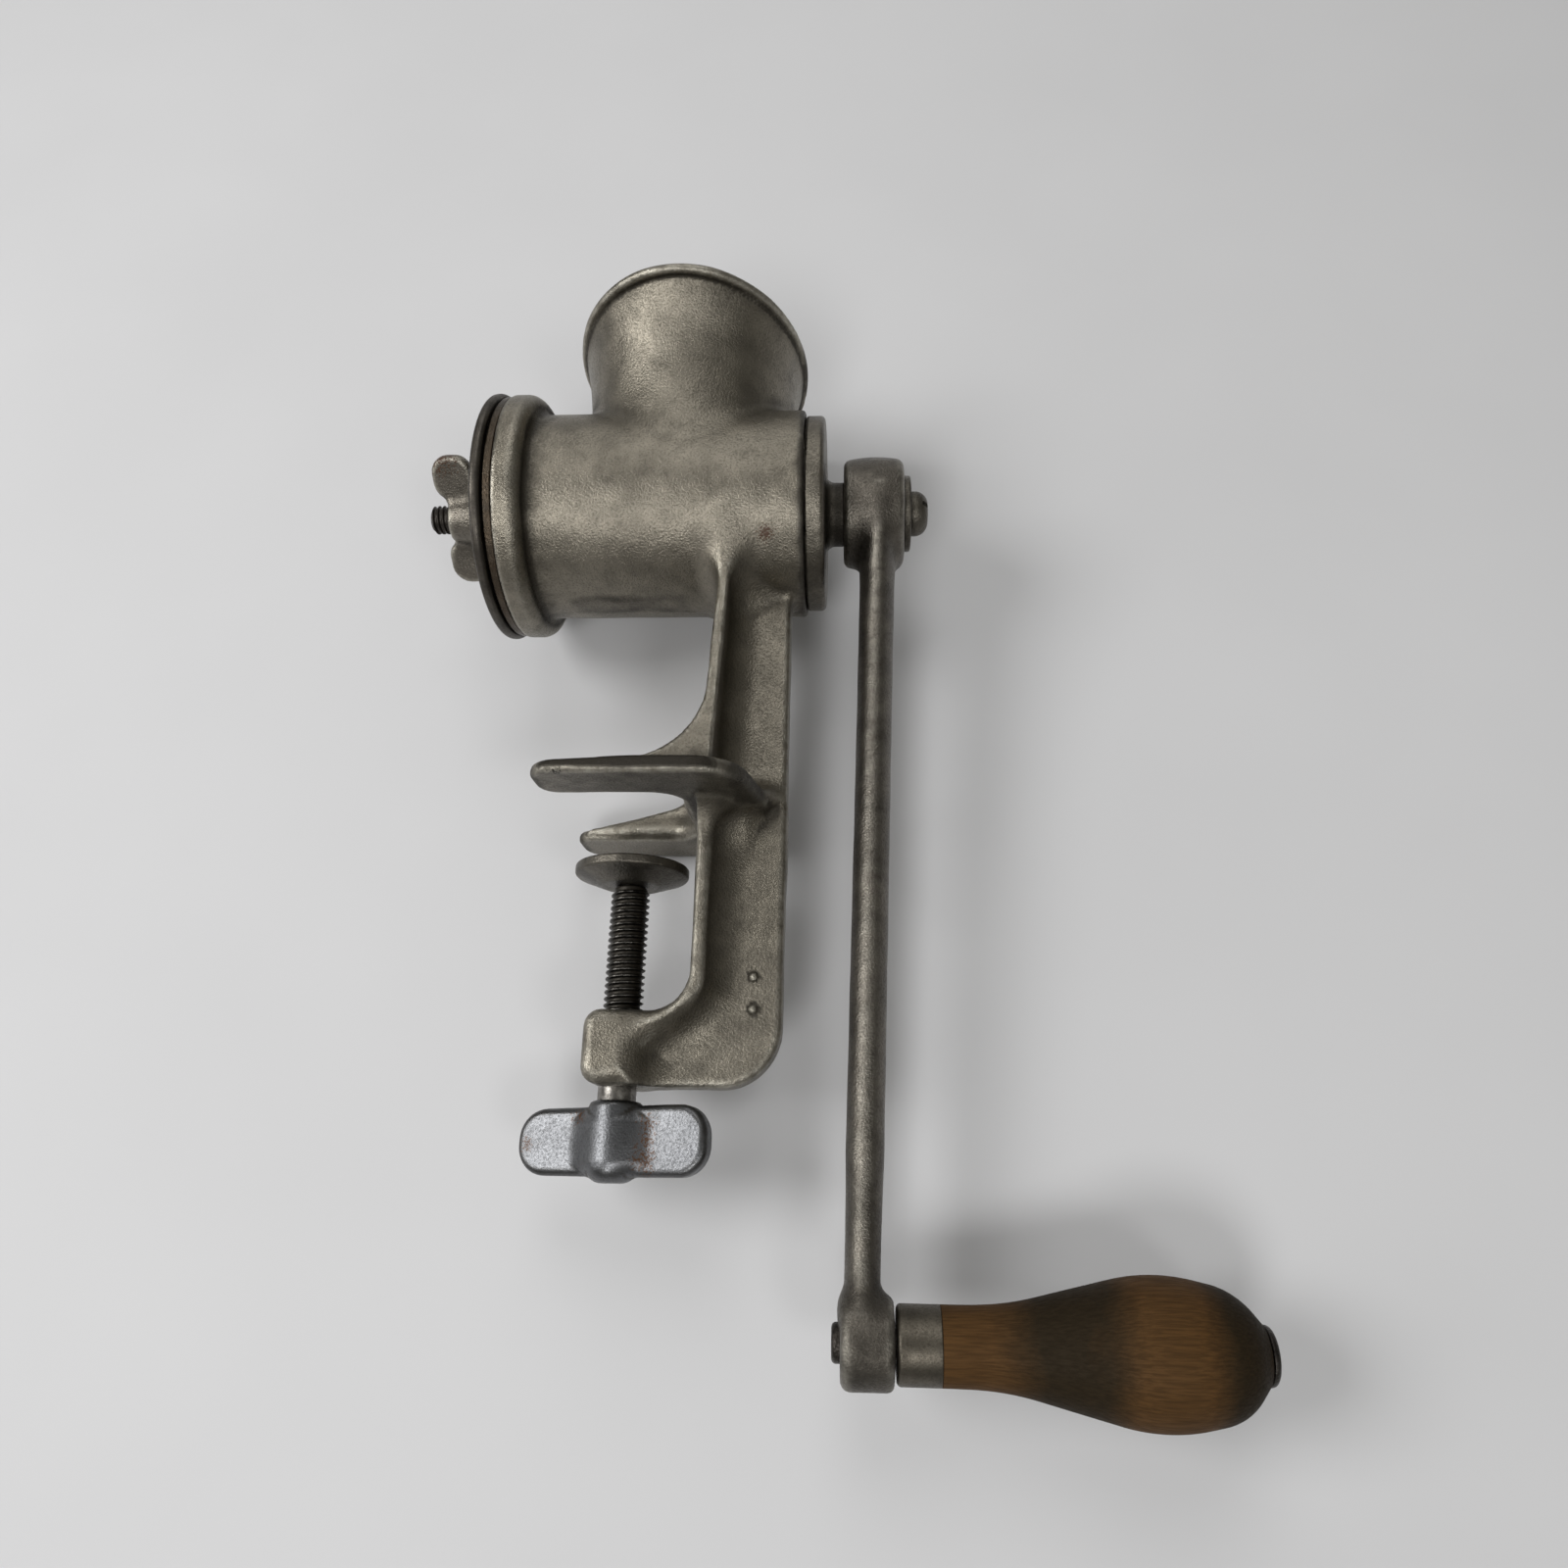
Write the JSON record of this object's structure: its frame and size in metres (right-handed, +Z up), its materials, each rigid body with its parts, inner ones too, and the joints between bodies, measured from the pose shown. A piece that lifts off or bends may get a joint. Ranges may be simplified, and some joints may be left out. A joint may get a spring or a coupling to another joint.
{
  "type": "hand crank meat grinder",
  "caption": "Small cast hand crank meat grinder: oval hopper, barrel with a revolving front cutter, turning crank with a wooden grip, and a table clamp with a thumb screw.",
  "frame": {"origin": "where the clamp screw's axis meets the plane of the fork's underside, which rests on the table", "axes": "+Z up along the clamp screw, X along the barrel with the mouth at -X and the crank at +X"},
  "size_m": [0.2074, 0.0848, 0.2732],
  "materials": {
    "tinned_casting": "tinned, satin, worn",
    "ring_iron": "brown, rubbed",
    "cutter_steel": "dark, rubbed rim",
    "feed_iron": "tinned, worn",
    "stud_steel": "dark steel thread",
    "nut_tin": "tinned with rust on the ears",
    "crank_iron": "tinned, worn to grey iron",
    "washer_steel": "worn steel",
    "screw_steel": "worn steel",
    "spindle_steel": "dark steel",
    "ferrule_steel": "tinned steel sleeve",
    "grip_wood": "oiled and worn hardwood",
    "pad_iron": "dark mottled iron",
    "clamp_steel": "dark steel thread",
    "wing_tin": "tinned with rust in the corners"
  },
  "bodies": {
    "frame": {"body_casting": "tinned_casting", "fixed_ring": "ring_iron"},
    "crank": {"feed_screw": "feed_iron", "cutter_stud": "stud_steel", "crank_arm": "crank_iron", "crank_washer": "washer_steel", "crank_screw": "screw_steel", "handle_spindle": "spindle_steel"},
    "grip": {"handle_grip": "grip_wood", "handle_ferrule": "ferrule_steel"},
    "cutter": {"revolving_cutter": "cutter_steel"},
    "nut": {"cutter_wing_nut": "nut_tin"},
    "pad": {"clamp_pad": "pad_iron"},
    "screw": {"clamp_screw": "clamp_steel", "clamp_thumb_wing": "wing_tin"}
  },
  "joints": [
    {"name": "crank_turn", "type": "hinge", "parent": "frame", "child": "crank", "pos_m": [0, 0, 0.0893], "axis": [1, 0, 0], "continuous": true},
    {"name": "grip_spin", "type": "hinge", "parent": "crank", "child": "grip", "pos_m": [0.1, 0, -0.1188], "axis": [1, 0, 0], "continuous": true},
    {"name": "cutter_slide", "type": "slide", "parent": "crank", "child": "cutter", "axis": [-1, 0, 0], "range_m": [0, 0.005]},
    {"name": "wing_nut_turn", "type": "hinge", "parent": "cutter", "child": "nut", "pos_m": [-0.055, 0, 0.0893], "axis": [-1, 0, 0], "range_deg": [0, 1280]},
    {"name": "clamp_pad_slide", "type": "slide", "parent": "frame", "child": "pad", "axis": [0, 0, 1], "range_m": [-0.0304, 0.0026]},
    {"name": "clamp_screw_turn", "type": "hinge", "parent": "pad", "child": "screw", "pos_m": [0, 0, -0.04], "axis": [0, 0, 1], "range_deg": [-6898, 594]}
  ],
  "couplings": [
    {"joint": "wing_nut_turn", "follows": "cutter_slide", "rad_per_m": 4456.2},
    {"joint": "clamp_screw_turn", "follows": "clamp_pad_slide", "rad_per_m": 3957.9}
  ]
}
